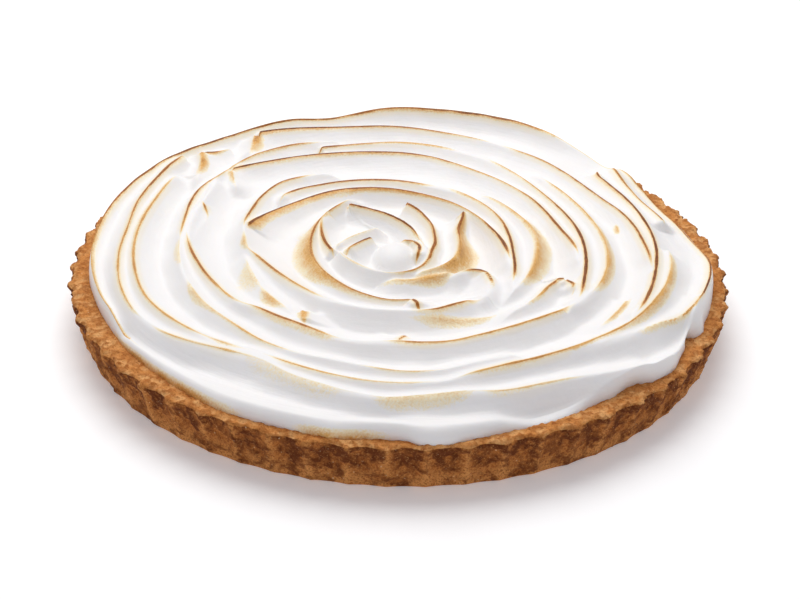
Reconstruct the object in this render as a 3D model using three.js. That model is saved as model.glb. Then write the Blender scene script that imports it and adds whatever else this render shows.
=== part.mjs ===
import * as THREE from 'three';

// A large lemon meringue tart: a fluted shortcrust shell, filled and topped with meringue that
// was spread in rings and browned along its crests. Millimetres, +Z up, origin at the middle of
// the flat underside. Angles are in degrees, from +X towards +Y.

// Crust
const rimRadius = 142; // to the ridges between the flutes, at the rim
const footRadius = 136.5; // to the same ridges at the underside
const crustHeight = 21;
const rimDrop = 1.6; // how far the rim rounds down to its outer edge
const rimRounding = 2.4; // and how far in from that edge the rounding starts
const rimWave = 0.3; // how far the baked rim rises and dips
const fluteCount = 59;
const fluteDepth = 2.6; // of the hollow flutes at the rim
const fluteDepthAtFoot = 0.9;
const fluteSharpness = 0.8; // under 1 makes wide flutes with narrow ridges between them
const fluteTurn = 0.2; // angle of the first ridge
const mouthRadius = 129.5; // inside, at the rim
const floorRadius = 127; // inside, where the wall meets the floor
const floorThickness = 5;

// Meringue
const clearance = 0.3; // between meringue and crust
const crownHeight = 36.5; // of the crests at the middle
const shoulderHeight = 33.5; // of the crests above the edge
const shoulderRadius = 133;
const shoulderStart = 100; // radius where the crests start to drop towards the edge
const valleyDepth = 6.5; // from the crests down to the valleys between them
const innerWidth = 15; // of a ridge, on the side of the middle
const innerPower = 1.8; // how hollow that side of a ridge is
const frontInnerPower = 1.5; // and at the front, where the ridges are terraces
const outerWidth = 10;
const outerPower = 1.7;
const frontOuterWidth = 9;
const frontOuterPower = 1.2;
const fadeLength = 12; // over which a crest rises at its start and sinks at its end
const footReach = 134.4; // radius of the meringue's foot on the rim
const edgeReach = 132.5; // and of the crest along its edge
const edgeHeight = 33.3; // of that crest
const frontDrop = 6.6; // how much lower it is at the front
const edgeRise = 0.55; // share of the valley depth that lies behind the edge's crest
const edgeWidth = 10; // of its ridge
const rollSlope = 0.12; // how the fat roll along the front rises inwards from the edge
const wallBulge = 0.4; // how far the wall below the edge's crest swells; at the front it is round

// Where the foot of the meringue runs out over the rim or draws back from it
const footLobes = [
  { at: -100, reach: 2.2, spread: 6 },
  { at: -85, reach: 4.6, spread: 6 },
  { at: -74, reach: 1.2, spread: 6 },
  { at: -52, reach: -2.4, spread: 6 },
  { at: -41, reach: 3.2, spread: 6 },
  { at: -30, reach: -3, spread: 4 },
  { at: -3, reach: 1.4, spread: 10 },
  { at: 27, reach: -3, spread: 12 },
  { at: -150, reach: -3, spread: 22 },
];

// Where the crest along the edge lies further out or in
const edgeLobes = [
  { at: -140, reach: -3.4, spread: 22 },
  { at: -100, reach: 0.8, spread: 5 },
  { at: -85, reach: 2, spread: 6 },
  { at: -60, reach: -1.8, spread: 14 },
  { at: -39, reach: 4.6, spread: 5 },
  { at: -29, reach: -3, spread: 5 },
  { at: -2, reach: 1.7, spread: 9 },
  { at: 28, reach: -3, spread: 9 },
];

// Where that crest stands higher or lower
const edgeHeightLobes = [
  { at: -152, reach: -3.2, spread: 15 },
  { at: -62, reach: -1.2, spread: 7 },
  { at: -47, reach: 1.8, spread: 5 },
  { at: -32, reach: -7, spread: 7 },
  { at: 13, reach: -9.5, spread: 19 },
  { at: 76, reach: 3.4, spread: 18 },
  { at: 105, reach: -2.2, spread: 6 },
  { at: 118, reach: 1.4, spread: 8 },
];

// The crests between the spatula's strokes: the angles where each starts and ends, its radius
// at even steps between them, and its rise as a share of the valley depth
const strokes = [
  { from: -55, to: 127, radii: [18, 8, 7, 8.5, 14, 35], rise: 1 },
  { from: -100, to: 87, radii: [35, 25, 16, 16, 21, 31], rise: 1 },
  { from: -72, to: 41, radii: [36, 31, 26, 27, 36], rise: 1 },
  { from: -150, to: -140, radii: [15, 20, 30], rise: 0.8 },
  { from: 165, to: 208, radii: [36, 33.5, 33], rise: 0.7 },
  { from: 112, to: 276, radii: [42, 38.5, 37, 38, 41, 46.5, 53, 56], rise: 1 },
  { from: -34, to: 174, radii: [56, 45.5, 40, 38.5, 40, 45, 50.5, 55, 66.5], rise: 1 },
  { from: -47, to: 152, radii: [66, 50, 47.3, 49.3, 52, 58, 62.7], rise: 1 },
  { from: -54, to: 56, radii: [68, 63.3, 59.6, 57.8, 55.3, 53.5], rise: 1 },
  { from: 112, to: 308, radii: [66, 73.5, 68.7, 65, 61.4, 64, 64.5, 64], rise: 1 },
  { from: 190, to: 242, radii: [68, 69.5, 74, 80], rise: 0.8 },
  { from: -60, to: -41, radii: [63, 58, 47.5], rise: 0.8 },
  { from: -62, to: -29, radii: [79, 75.8, 74.8], rise: 0.9 },
  { from: -42, to: 114, radii: [91.5, 82.5, 78.5, 77.2, 82.5, 91, 97, 97.2], rise: 1 },
  { from: -20, to: 141, radii: [79.5, 71.5, 70, 72, 78.5, 85.4, 91.5, 100.8], rise: 1 },
  { from: 146, to: 401,
    radii: [100, 93, 92, 89.5, 87.7, 87.2, 84.8, 87.5, 88, 88.7, 87, 87.8, 90.5, 91, 89, 87, 86.5, 88.3], rise: 1 },
  { from: 106, to: 298,
    radii: [102.5, 106, 103.5, 100.5, 95.6, 94.5, 96.3, 98.7, 101.2, 104, 107, 107, 105.5], rise: 1 },
  { from: -12, to: 124, radii: [109, 104.5, 101, 101, 105.8, 110, 114.8, 118.8, 125], rise: 1 },
  { from: 124, to: 133, radii: [125, 116, 106], rise: 0.9 },
  { from: 138, to: 152, radii: [126, 114, 105.5], rise: 0.9 },
  { from: 142, to: 310,
    radii: [126.8, 123, 119.5, 119, 121.8, 123, 119.5, 114.3, 119, 123.8, 122, 122.8, 130], rise: 1 },
  { from: 149, to: 359,
    radii: [118.3, 114, 113.3, 114.4, 115.7, 114.2, 111, 113, 115.5, 112, 110, 112.2, 115, 116.5, 115], rise: 1 },
  { from: -36, to: 38, radii: [113.4, 111, 110.3, 110.8, 115], rise: 1 },
  { from: -43, to: -20, radii: [116, 122.3, 131], rise: 1 },
  { from: 11, to: 36, radii: [116.6, 116.8, 122.5], rise: 0.8 },
];

// Fineness of the surface
const columnsPerFlute = 6;
const meringueColumns = 116;
const meringueRings = 34;
const wallShares = [0.25, 0.5, 0.75, 0.94]; // of the way down the wall
const stepAlongCrest = 2.5;
const ridgeBlend = 3; // higher keeps ridges that meet more separate
const steepest = 0.6; // crests that climb outwards faster than this lie across the rings
const evenings = 150; // passes that even out the rings between crests
const levelShare = 0.35; // how much a ring keeps to its own radius either side
const leastShare = 0.25; // least share of the room between its neighbours on each side of a ring

// Finish
const crustColor = 0xb0703a;
const meringueColor = 0xf7f3ea;

const radians = (degrees) => THREE.MathUtils.degToRad(degrees);
const ramp = THREE.MathUtils.smoothstep;
const mix = THREE.MathUtils.lerp;
const onRing = (radius, angle, height) =>
  new THREE.Vector3(radius * Math.cos(radians(angle)), radius * Math.sin(radians(angle)), height);
const angleBetween = (a, b) => THREE.MathUtils.euclideanModulo(a - b + 180, 360) - 180;
const lobesAt = (lobes, angle) =>
  lobes.reduce((sum, { at, reach, spread }) =>
    sum + reach * Math.exp(-((angleBetween(angle, at) / spread) ** 2)), 0);

// A closed body from rings of points: outwards from the middle of its top, down and back in to
// the middle of its underside. Each square is split along the diagonal whose lower end is the
// higher, which keeps crests whole.
function ringBody(top, rings, bottom) {
  const columns = rings[0].length;
  const points = [top, ...rings.flat(), bottom];
  const last = points.length - 1;
  const at = (ring, column) => 1 + ring * columns + (column % columns);
  const faces = [];
  for (let column = 0; column < columns; column++) {
    faces.push([0, at(0, column), at(0, column + 1)]);
    for (let ring = 0; ring + 1 < rings.length; ring++) {
      const a = at(ring, column);
      const b = at(ring + 1, column);
      const c = at(ring + 1, column + 1);
      const d = at(ring, column + 1);
      if (Math.min(points[a].z, points[c].z) >= Math.min(points[b].z, points[d].z)) {
        faces.push([a, b, c], [a, c, d]);
      } else {
        faces.push([a, b, d], [b, c, d]);
      }
    }
    faces.push([last, at(rings.length - 1, column + 1), at(rings.length - 1, column)]);
  }
  const geometry = new THREE.BufferGeometry().setFromPoints(points);
  geometry.setIndex(faces.flat());
  geometry.computeVertexNormals();
  return geometry;
}

// Crust

function rimHeight(angle) {
  const wave = Math.sin(radians(3 * angle)) + 0.6 * Math.sin(radians(7 * angle + 50));
  return crustHeight + (rimWave * wave) / 1.6;
}

// How far the wall draws in from the ridges, where the flutes are this deep
function fluteInset(angle, depth) {
  const acrossFlute = Math.sin(radians(((angle - fluteTurn) * fluteCount) / 2));
  return depth * Math.abs(acrossFlute) ** fluteSharpness;
}

function crustBody() {
  const columns = fluteCount * columnsPerFlute;
  const ring = (radiusAt, heightAt) =>
    Array.from({ length: columns }, (_, column) => {
      const angle = fluteTurn + (360 * column) / columns;
      return onRing(radiusAt(angle), angle, heightAt(angle));
    });
  const flat = (height) => () => height;
  const plain = (radius) => () => radius;
  return ringBody(
    onRing(0, 0, floorThickness),
    [
      ring(plain(floorRadius), flat(floorThickness)),
      ring(plain(mouthRadius), rimHeight),
      ring((angle) => rimRadius - rimRounding - fluteInset(angle, fluteDepth), rimHeight),
      ring((angle) => rimRadius - fluteInset(angle, fluteDepth), (angle) => rimHeight(angle) - rimDrop),
      ring((angle) => footRadius - fluteInset(angle, fluteDepthAtFoot), flat(0)),
    ],
    onRing(0, 0, 0),
  );
}

// Meringue

// How much an angle belongs to the front, where the meringue slopes down to the rim
const frontShare = (angle) => 1 - ramp(Math.abs(angleBetween(angle, -100)), 45, 75);
const footRadiusAt = (angle) => footReach + lobesAt(footLobes, angle);
const edgeRadiusAt = (angle) => edgeReach + lobesAt(edgeLobes, angle);
const edgeHeightAt = (angle) =>
  edgeHeight - frontDrop * frontShare(angle) + lobesAt(edgeHeightLobes, angle);
// How much it belongs to the part of the front where the edge is a fat roll
const rollShare = (angle) => 1 - ramp(Math.abs(angleBetween(angle, -107)), 34, 52);

// A value at a share of the way along evenly spaced ones, on a smooth curve through them
function along(values, share) {
  const place = Math.min(share * (values.length - 1), values.length - 1 - 1e-9);
  const k = Math.floor(place);
  const t = place - k;
  const before = k > 0 ? values[k - 1] : 2 * values[0] - values[1];
  const after = k + 2 < values.length ? values[k + 2] : 2 * values[k + 1] - values[k];
  const pull = (values[k + 1] - before) / 2;
  const push = (after - values[k]) / 2;
  return values[k] * (2 * t ** 3 - 3 * t ** 2 + 1) + pull * (t ** 3 - 2 * t ** 2 + t)
    + values[k + 1] * (3 * t ** 2 - 2 * t ** 3) + push * (t ** 3 - t ** 2);
}

// The points of a crest, each with its rise
function crestPath({ from, to, radii, rise }) {
  const meanRadius = radii.reduce((sum, radius) => sum + radius, 0) / radii.length;
  const span = Math.hypot(radians(to - from) * meanRadius, radii.at(-1) - radii[0]);
  const steps = Math.ceil(span / stepAlongCrest);
  return Array.from({ length: steps + 1 }, (_, step) => {
    const share = step / steps;
    const point = onRing(along(radii, share), from + (to - from) * share, 0);
    const toEnd = Math.min(share, 1 - share) * span;
    return { x: point.x, y: point.y, rise: rise * ramp(toEnd, -fadeLength / 2, fadeLength) };
  });
}

const crests = strokes.map(crestPath);

// How much one crest lifts a point of the surface, as a share of the valley depth
function liftFrom(path, x, y) {
  let nearest = Infinity;
  let rise = 0;
  let crestRadius = 0;
  for (let k = 0; k + 1 < path.length; k++) {
    const start = path[k];
    const end = path[k + 1];
    const dx = end.x - start.x;
    const dy = end.y - start.y;
    const share = THREE.MathUtils.clamp(
      ((x - start.x) * dx + (y - start.y) * dy) / (dx * dx + dy * dy), 0, 1);
    const footX = start.x + dx * share;
    const footY = start.y + dy * share;
    const distance = Math.hypot(x - footX, y - footY);
    if (distance < nearest) {
      nearest = distance;
      rise = start.rise + (end.rise - start.rise) * share;
      crestRadius = Math.hypot(footX, footY);
    }
  }
  const front = frontShare(THREE.MathUtils.radToDeg(Math.atan2(y, x)));
  if (Math.hypot(x, y) < crestRadius) {
    return rise * Math.max(0, 1 - nearest / innerWidth) ** mix(innerPower, frontInnerPower, front);
  }
  const width = mix(outerWidth, frontOuterWidth, front);
  return rise * Math.max(0, 1 - nearest / width) ** mix(outerPower, frontOuterPower, front);
}

function meringueHeight(radius, angle) {
  const { x, y } = onRing(radius, angle, 0);
  const edgeRadius = edgeRadiusAt(angle);
  const toEdge = edgeRadius - radius;
  const rolling = rollShare(angle);
  const edgeLift = (1 - rolling) * edgeRise * Math.max(0, 1 - toEdge / edgeWidth) ** 2;
  const lifts = [...crests.map((path) => liftFrom(path, x, y)), edgeLift];
  const lift = lifts.reduce((sum, value) => sum + value ** ridgeBlend, 0) ** (1 / ridgeBlend);
  const dome = (at) =>
    shoulderHeight + (crownHeight - shoulderHeight) * (1 - (at / shoulderRadius) ** 2);
  const outwards = Math.max(0, radius - shoulderStart) / (edgeRadius - shoulderStart);
  const edgeTop = edgeHeightAt(angle) + valleyDepth * (1 - edgeRise);
  const crestLevel = dome(radius) + (edgeTop - dome(edgeRadius)) * outwards ** 3;
  const spread = crestLevel - valleyDepth * (1 - Math.min(1, lift));
  const roll = edgeHeightAt(angle) + rollSlope * Math.min(toEdge, edgeWidth);
  return mix(spread, Math.max(spread, roll), rolling);
}

// Where a crest lies at an angle, if it passes there
function crestRadius({ from, to, radii }, angle) {
  const share = THREE.MathUtils.euclideanModulo(angle - from, 360) / (to - from);
  return share <= 1 ? along(radii, share) : undefined;
}

const meanRadius = ({ radii }) => radii.reduce((sum, radius) => sum + radius, 0) / radii.length;
const runsRound = (stroke) =>
  Math.abs(stroke.radii.at(-1) - stroke.radii[0])
    < steepest * radians(stroke.to - stroke.from) * meanRadius(stroke);

// The radii of the surface's rings at each angle. Every crest that runs round lies on one ring,
// with at least one ring between it and the next, and the other rings even out between them.
function ringRadii(angles) {
  const last = meringueRings - 1;
  const step = shoulderRadius / meringueRings;
  const net = angles.map((angle) =>
    Array.from({ length: meringueRings }, (_, ring) => (edgeRadiusAt(angle) * (ring + 1)) / meringueRings));
  const held = angles.map(() => new Set([last]));
  const placed = [];
  const together = (a, b) =>
    angles.some((angle) => crestRadius(a, angle) !== undefined && crestRadius(b, angle) !== undefined);
  for (const stroke of strokes.filter(runsRound).sort((a, b) => meanRadius(a) - meanRadius(b))) {
    const inner = placed.filter((other) => together(stroke, other.stroke));
    const ring = Math.max(
      Math.round(meanRadius(stroke) / step) - 1, ...inner.map((other) => other.ring + 2));
    if (ring > last - 2) continue;
    placed.push({ stroke, ring });
    angles.forEach((angle, k) => {
      const radius = crestRadius(stroke, angle);
      if (radius !== undefined) {
        net[k][ring] = radius;
        held[k].add(ring);
      }
    });
  }
  for (let pass = 0; pass < evenings; pass++) {
    net.forEach((radii, k) => {
      const before = net[(k + net.length - 1) % net.length];
      const after = net[(k + 1) % net.length];
      for (let ring = 0; ring < last; ring++) {
        if (held[k].has(ring)) continue;
        const inner = ring > 0 ? radii[ring - 1] : 0;
        const room = radii[ring + 1] - inner;
        const even = inner + room / 2;
        const level = (before[ring] + after[ring]) / 2;
        radii[ring] = THREE.MathUtils.clamp(
          even + (level - even) * levelShare, inner + room * leastShare, inner + room * (1 - leastShare));
      }
    });
  }
  return net;
}

function meringueBody() {
  const angles = Array.from({ length: meringueColumns }, (_, k) => (360 * k) / meringueColumns);
  const radii = ringRadii(angles);
  const surface = Array.from({ length: meringueRings }, (_, ring) =>
    angles.map((angle, k) => onRing(radii[k][ring], angle, meringueHeight(radii[k][ring], angle))));
  const lipHeight = (angle) => rimHeight(angle) + clearance;
  const wall = wallShares.map((share) =>
    angles.map((angle) => {
      const round = rollShare(angle);
      const turn = (Math.PI / 2) * share;
      const outwards = mix(share, Math.sin(turn), round);
      const down = mix(share, 1 - Math.cos(turn), round);
      const bulge = wallBulge * Math.sin(Math.PI * share) * (1 - round);
      return onRing(
        mix(edgeRadiusAt(angle), footRadiusAt(angle), outwards) + bulge,
        angle,
        mix(edgeHeightAt(angle), lipHeight(angle), down),
      );
    }));
  const lip = (inset) =>
    angles.map((angle) => onRing(footRadiusAt(angle) - inset, angle, lipHeight(angle)));
  const flatRing = (radius, heightAt) =>
    angles.map((angle) => onRing(radius, angle, heightAt(angle)));
  return ringBody(
    onRing(0, 0, meringueHeight(0, 0)),
    [
      ...surface,
      ...wall,
      lip(clearance),
      flatRing(mouthRadius - 2 * clearance, lipHeight),
      flatRing(floorRadius - 2 * clearance, () => floorThickness + clearance),
    ],
    onRing(0, 0, floorThickness + clearance),
  );
}

function piece(name, geometry, color, roughness) {
  const mesh = new THREE.Mesh(
    geometry,
    new THREE.MeshStandardMaterial({ color, roughness, metalness: 0 }),
  );
  mesh.name = name;
  return mesh;
}

const tart = new THREE.Group();
tart.add(piece('crust', crustBody(), crustColor, 0.85));
tart.add(piece('meringue', meringueBody(), meringueColor, 0.6));

export default tart;
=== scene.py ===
import math

import bpy
import numpy as np
from mathutils import Matrix, Vector


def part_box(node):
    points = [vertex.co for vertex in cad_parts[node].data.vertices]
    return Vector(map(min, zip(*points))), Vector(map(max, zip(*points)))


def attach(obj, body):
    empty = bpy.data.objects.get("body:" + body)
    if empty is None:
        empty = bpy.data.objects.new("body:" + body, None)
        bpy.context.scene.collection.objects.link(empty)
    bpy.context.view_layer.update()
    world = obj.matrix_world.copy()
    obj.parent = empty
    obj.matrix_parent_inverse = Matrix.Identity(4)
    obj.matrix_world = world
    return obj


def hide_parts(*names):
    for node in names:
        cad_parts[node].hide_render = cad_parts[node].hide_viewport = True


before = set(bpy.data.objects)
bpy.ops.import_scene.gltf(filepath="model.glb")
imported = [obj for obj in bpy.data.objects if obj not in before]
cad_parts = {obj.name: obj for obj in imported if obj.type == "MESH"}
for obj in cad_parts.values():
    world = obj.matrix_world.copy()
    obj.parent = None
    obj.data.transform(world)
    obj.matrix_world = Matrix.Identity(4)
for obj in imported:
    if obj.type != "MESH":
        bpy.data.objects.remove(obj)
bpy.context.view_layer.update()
mm = 0.001

crustLow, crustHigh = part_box("crust")
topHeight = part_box("meringue")[1].z
rimRadius = (crustHigh.x - crustLow.x) / 2 / mm
rimHeight = 21.0
print("frame loaded: rim radius %.1f mm, top %.1f mm" % (rimRadius, topHeight / mm))


# Small helpers for node trees

def addNode(tree, kind, inputs=None, **settings):
    made = tree.nodes.new(kind)
    for name, value in settings.items():
        setattr(made, name, value)
    for key, value in (inputs or {}).items():
        if isinstance(value, bpy.types.NodeSocket):
            tree.links.new(value, made.inputs[key])
        else:
            made.inputs[key].default_value = value
    return made


def calc(tree, operation, *values, clamp=False):
    inputs = dict(enumerate(values))
    return addNode(tree, "ShaderNodeMath", inputs, operation=operation, use_clamp=clamp).outputs[0]


def plus(tree, first, second, clamp=False):
    return calc(tree, "ADD", first, second, clamp=clamp)


def minus(tree, first, second):
    return calc(tree, "SUBTRACT", first, second)


def times(tree, first, second, clamp=False):
    return calc(tree, "MULTIPLY", first, second, clamp=clamp)


def vectorCalc(tree, operation, *values):
    made = addNode(tree, "ShaderNodeVectorMath", dict(enumerate(values)), operation=operation)
    return made.outputs["Value" if operation == "LENGTH" else "Vector"]


def scaled(tree, vector, factor):
    made = addNode(tree, "ShaderNodeVectorMath", {0: vector, "Scale": factor}, operation="SCALE")
    return made.outputs["Vector"]


def splitVector(tree, vector):
    return addNode(tree, "ShaderNodeSeparateXYZ", {0: vector}).outputs


def joinVector(tree, x=0.0, y=0.0, z=0.0):
    return addNode(tree, "ShaderNodeCombineXYZ", {"X": x, "Y": y, "Z": z}).outputs[0]


def ramp(tree, value, low, high, toLow=0.0, toHigh=1.0, smooth=True):
    inputs = {"Value": value, "From Min": low, "From Max": high, "To Min": toLow, "To Max": toHigh}
    kind = "SMOOTHSTEP" if smooth else "LINEAR"
    return addNode(tree, "ShaderNodeMapRange", inputs, interpolation_type=kind).outputs["Result"]


def noise(tree, place, size, detail=2.0, roughness=0.5):
    # size is the width of one lump in millimetres
    inputs = {"Vector": place, "Scale": 1 / (size * mm), "Detail": detail, "Roughness": roughness}
    return addNode(tree, "ShaderNodeTexNoise", inputs).outputs["Fac"]


def cells(tree, place, size, feature="F1"):
    inputs = {"Vector": place, "Scale": 1 / (size * mm)}
    return addNode(tree, "ShaderNodeTexVoronoi", inputs, feature=feature).outputs["Distance"]


def mixColors(tree, share, first, second, blend="MIX"):
    made = addNode(tree, "ShaderNodeMix", data_type="RGBA", blend_type=blend)
    for socket, value in ((made.inputs[0], share), (made.inputs[6], first), (made.inputs[7], second)):
        if isinstance(value, bpy.types.NodeSocket):
            tree.links.new(value, socket)
        else:
            socket.default_value = value
    return made.outputs[2]


def newMaterial(name):
    material = bpy.data.materials.new(name)
    material.use_nodes = True
    tree = material.node_tree
    shader = tree.nodes["Principled BSDF"]
    return material, tree, shader


def readAttribute(tree, name):
    return addNode(tree, "ShaderNodeAttribute", attribute_name=name).outputs["Fac"]


def storeValue(tree, geometry, name, value):
    made = addNode(tree, "GeometryNodeStoreNamedAttribute", {
        "Geometry": geometry, "Name": name, "Value": value}, data_type="FLOAT", domain="POINT")
    return made.outputs[0]


# Shortcrust: coarse and baked, with shade painted dark high on the wall and in the hollows of the flutes

crustFinish = {
    "wall": (0.47, 0.165, 0.038, 1),
    # the dark wall colour is painted shade in the hollows and crevices as well as the tone of dark
    # crumbs; the pale one is painted light on the ridges and at the foot
    "wallDark": (0.145, 0.037, 0.008, 1),
    "wallPaintedLight": (0.74, 0.325, 0.095, 1),
    "rim": (0.68, 0.28, 0.075, 1),
    "rimPale": (0.86, 0.46, 0.175, 1),
    "crumb": (0.72, 0.36, 0.13, 1),
    "speck": (0.86, 0.66, 0.42, 1),
    "roughness": 0.85,
    "specular": 0.12,
    "blotchSize": 7.0,      # widths of its spots, from the widest to the smallest
    "pitSize": 2.6,
    "grainSize": 1.5,
    "crumbSize": 0.75,
    "bumpStrength": 0.8,
    "bumpHeight": 0.7,
}


def makeCrustMaterial(look):
    material, tree, shader = newMaterial("baked shortcrust")
    place = addNode(tree, "ShaderNodeTexCoord").outputs["Object"]
    height = calc(tree, "DIVIDE", splitVector(tree, place)["Z"], rimHeight * mm)
    recess = readAttribute(tree, "recess")
    relief = readAttribute(tree, "relief")
    onRim = readAttribute(tree, "onRim")

    blotches = noise(tree, place, look["blotchSize"], detail=3.0)
    grain = noise(tree, place, look["grainSize"], detail=4.0, roughness=0.65)
    crumb = noise(tree, place, look["crumbSize"], detail=3.0, roughness=0.7)
    pits = cells(tree, place, look["pitSize"])

    # painted shade: dark high in the hollow of each flute, under the rim's lip, and in the crevices
    # between crumbs, added to browning in random blotches
    paintedPocketShade = times(tree, ramp(tree, height, 0.25, 0.80), ramp(tree, recess, 0.15, 0.80, 0.25, 1.0))
    # browned here holds this painted shade as well as the blotchy browning
    browned = times(tree, paintedPocketShade, 0.75)
    browned = plus(tree, browned, ramp(tree, blotches, 0.38, 0.64, -0.45, 0.40))
    browned = plus(tree, browned, ramp(tree, relief, -0.45, 0.25, 0.42, -0.18), clamp=True)
    # painted light: lighter at the foot and on the lit ridges between the flutes, broken up by the
    # blotches
    paintedLight = plus(tree, ramp(tree, height, 0.55, 0.05, 0.0, 0.9), ramp(tree, recess, 0.4, 0.05, 0.0, 0.55))
    paintedLight = times(tree, paintedLight, ramp(tree, blotches, 0.70, 0.44), clamp=True)
    color = mixColors(tree, paintedLight, look["wall"], look["wallPaintedLight"])
    color = mixColors(tree, browned, color, look["wallDark"])
    # the top of the rim and its broken lip
    rimColor = mixColors(tree, ramp(tree, blotches, 0.40, 0.65), look["rim"], look["rimPale"])
    # painted shade: the rim's top turns to the wall colour in the crevices between its crumbs
    rimColor = mixColors(tree, ramp(tree, relief, 0.05, -0.55, 0.0, 0.85), rimColor, look["wall"])
    lip = ramp(tree, plus(tree, onRim, ramp(tree, blotches, 0.3, 0.7, -0.35, 0.35)), 0.35, 0.60)
    color = mixColors(tree, lip, color, rimColor)
    # grain, dark and pale crumbs, and a few pale specks
    shade = mixColors(tree, ramp(tree, grain, 0.50, 0.34, 0.0, 0.6), (1, 1, 1, 1), look["wall"])
    color = mixColors(tree, 0.6, color, shade, "MULTIPLY")
    dark = times(tree, ramp(tree, crumb, 0.52, 0.36, 0.0, 0.55), ramp(tree, lip, 0.0, 1.0, 1.0, 0.45))
    color = mixColors(tree, dark, color, look["wallDark"])
    color = mixColors(tree, ramp(tree, crumb, 0.56, 0.68, 0.0, 0.45), color, look["crumb"])
    specks = times(tree, ramp(tree, pits, 0.16, 0.08), ramp(tree, grain, 0.5, 0.62))
    color = mixColors(tree, times(tree, specks, 0.55), color, look["speck"])

    rough = plus(tree, grain, times(tree, crumb, 0.7))
    bump = addNode(tree, "ShaderNodeBump", {
        "Height": rough, "Strength": look["bumpStrength"], "Distance": look["bumpHeight"] * mm})
    tree.links.new(color, shader.inputs["Base Color"])
    tree.links.new(bump.outputs["Normal"], shader.inputs["Normal"])
    shader.inputs["Roughness"].default_value = look["roughness"]
    shader.inputs["Specular IOR Level"].default_value = look["specular"]
    return material


crust = {
    "flutes": 59,
    "fluteDepth": 2.3,      # of the hollow flutes at the rim
    "fluteDepthAtFoot": 0.8,
    "fluteSharpness": 0.8,  # under 1 makes wide flutes with narrow ridges between them
    "fluteTurn": 0.2,       # degrees to the first ridge
    "fluteDrift": 0.8,      # degrees that flutes stray from even spacing
    "columnsPerFlute": 20,
    "footRadius": 136.5,
    "mouthRadius": 129.5,
    "mouthDrop": 4.0,       # how far below the rim its inner side is drawn, hidden by the meringue
    "floorRadius": 127.0,
    "floorThickness": 5.0,
    "rimRounding": 1.5,
    "footRounding": 0.8,
    "rowStep": 0.6,
    "crumbHeight": 0.62,    # coarse crumb relief
    "lumpHeight": 0.60,     # slower unevenness
    "chipDepth": 4.2,       # of the breaks in the rim's outer edge
    "lumpSize": 6.5,
    "pitSize": 4.6,
    "chipSize": 3.2,
    "crumbSize": 2.3,
    "grainSize": 2.0,
    "seed": 4,
}


def crustProfile(sizes):
    # radius and height, from the middle of the floor over the rim and back under to the middle
    step = sizes["rowStep"]
    edge = sizes["rimRounding"]
    foot = sizes["footRounding"]
    rows = [(0, sizes["floorThickness"]), (sizes["floorRadius"], sizes["floorThickness"])]
    rows += [(sizes["mouthRadius"] - 1, rimHeight - sizes["mouthDrop"])]
    flat = np.arange(sizes["mouthRadius"], rimRadius - edge, step)
    rows += [(radius, rimHeight) for radius in flat]
    for turn in np.linspace(0, 80, 6):
        angle = math.radians(turn)
        rows.append((rimRadius - edge + edge * math.sin(angle), rimHeight - edge * (1 - math.cos(angle))))
    top = rows[-1]
    low = (sizes["footRadius"], foot)
    count = int((top[1] - low[1]) / step)
    for k in range(1, count + 1):
        share = k / count
        rows.append((top[0] + (low[0] - top[0]) * share, top[1] + (low[1] - top[1]) * share))
    for turn in (30, 60, 90):
        angle = math.radians(turn)
        rows.append((sizes["footRadius"] - foot * (1 - math.cos(angle)), foot - foot * math.sin(angle)))
    rows += [(sizes["footRadius"] - inset, 0) for inset in (2, 4, 8, 20, 50)]
    rows.append((0, 0))
    return rows


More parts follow.
